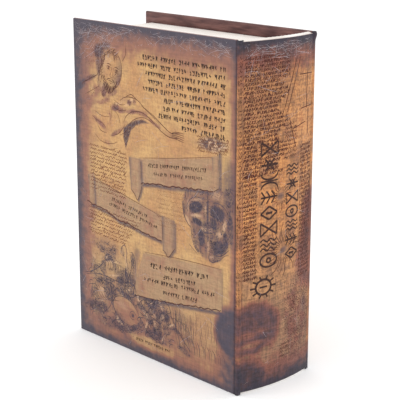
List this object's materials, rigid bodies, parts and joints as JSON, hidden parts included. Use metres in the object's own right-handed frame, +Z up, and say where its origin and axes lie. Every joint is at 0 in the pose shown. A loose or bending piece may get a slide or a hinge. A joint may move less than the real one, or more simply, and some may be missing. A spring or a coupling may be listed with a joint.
{
  "type": "cryptex in a book-shaped case",
  "caption": "Upright book-shaped case with a hinged cover; inside lies a cylindrical combination cryptex with dials, a keyed drawer and a scroll.",
  "frame": {"origin": "middle of the tail end, on the surface that the case stands on", "axes": "+Z up, to the head of the book; +X to the rounded spine; +Y to the front cover that opens"},
  "size_m": [0.177, 0.072, 0.24],
  "materials": {
    "printed_leatherette": "printed, fine linen grain, low sheen",
    "greyboard": "raw",
    "white_board": "matte",
    "page_paper": "matte",
    "lining_paper": "matte",
    "flocked_foam": "flocked",
    "nickel": "plated",
    "brass": "aged satin",
    "steel": "blackened",
    "dial_wood": "oiled",
    "parchment": "aged",
    "ribbon": "satin"
  },
  "bodies": {
    "case": {"back_cover_wrap": "printed_leatherette", "back_cover_board": "greyboard", "back_pastedown": "lining_paper", "back_hinge_strip": "printed_leatherette", "spine_wrap": "printed_leatherette", "spine_board": "greyboard", "spine_liner": "white_board", "spine_core": "white_board", "front_hinge_strip": "printed_leatherette", "tray_floor": "lining_paper", "tray_wall_head": "lining_paper", "tray_wall_tail": "lining_paper", "tray_wall_spine": "lining_paper", "tray_wall_fore_edge": "lining_paper", "page_paper_head": "page_paper", "page_paper_tail": "page_paper", "page_paper_fore_edge": "page_paper", "tray_magnets": "nickel", "foam_bed": "flocked_foam"},
    "front_cover": {"front_cover_wrap": "printed_leatherette", "front_cover_board": "greyboard", "front_endpaper": "lining_paper", "cover_plates": "nickel"},
    "cryptex": {"outer_tube": "brass", "fixed_cap": "brass", "fixed_finial": "brass", "ring_spacers": "brass", "lock_collar": "brass", "collar_set_screws": "steel", "fixed_pointer": "steel", "collar_pointer": "steel"},
    "dial_1": {"dial_ring_1": "dial_wood", "code_ring_1": "brass"},
    "dial_2": {"dial_ring_2": "dial_wood", "code_ring_2": "brass"},
    "dial_3": {"dial_ring_3": "dial_wood", "code_ring_3": "brass"},
    "dial_4": {"dial_ring_4": "dial_wood", "code_ring_4": "brass"},
    "dial_5": {"dial_ring_5": "dial_wood", "code_ring_5": "brass"},
    "drawer": {"drawer_tube": "brass", "key_rail": "brass", "rail_screws": "steel", "drawer_cap": "brass", "drawer_knob": "brass"},
    "scroll": {"message_scroll": "parchment", "scroll_tie": "ribbon"}
  },
  "joints": [
    {"name": "front_cover_hinge", "type": "hinge", "parent": "case", "child": "front_cover", "pos_m": [0.0826, 0.036, 0.12], "axis": [0, 0, -1], "range_deg": [0, 180], "deforming": ["front_hinge_strip"]},
    {"name": "cryptex_lift", "type": "slide", "parent": "case", "child": "cryptex", "axis": [0, 1, 0], "range_m": [0, 0.006]},
    {"name": "dial_1_turn", "type": "hinge", "parent": "cryptex", "child": "dial_1", "pos_m": [0, 0, 0.0463], "axis": [0, 0, 1], "continuous": true},
    {"name": "dial_2_turn", "type": "hinge", "parent": "cryptex", "child": "dial_2", "pos_m": [0, 0, 0.0613], "axis": [0, 0, 1], "continuous": true},
    {"name": "dial_3_turn", "type": "hinge", "parent": "cryptex", "child": "dial_3", "pos_m": [0, 0, 0.0763], "axis": [0, 0, 1], "continuous": true},
    {"name": "dial_4_turn", "type": "hinge", "parent": "cryptex", "child": "dial_4", "pos_m": [0, 0, 0.0913], "axis": [0, 0, 1], "continuous": true},
    {"name": "dial_5_turn", "type": "hinge", "parent": "cryptex", "child": "dial_5", "pos_m": [0, 0, 0.1063], "axis": [0, 0, 1], "continuous": true},
    {"name": "drawer_slide", "type": "slide", "parent": "cryptex", "child": "drawer", "axis": [0, 0, 1], "range_m": [0, 0.06]},
    {"name": "scroll_slide", "type": "slide", "parent": "drawer", "child": "scroll", "axis": [0, 0, -1], "range_m": [0, 0.015]}
  ]
}
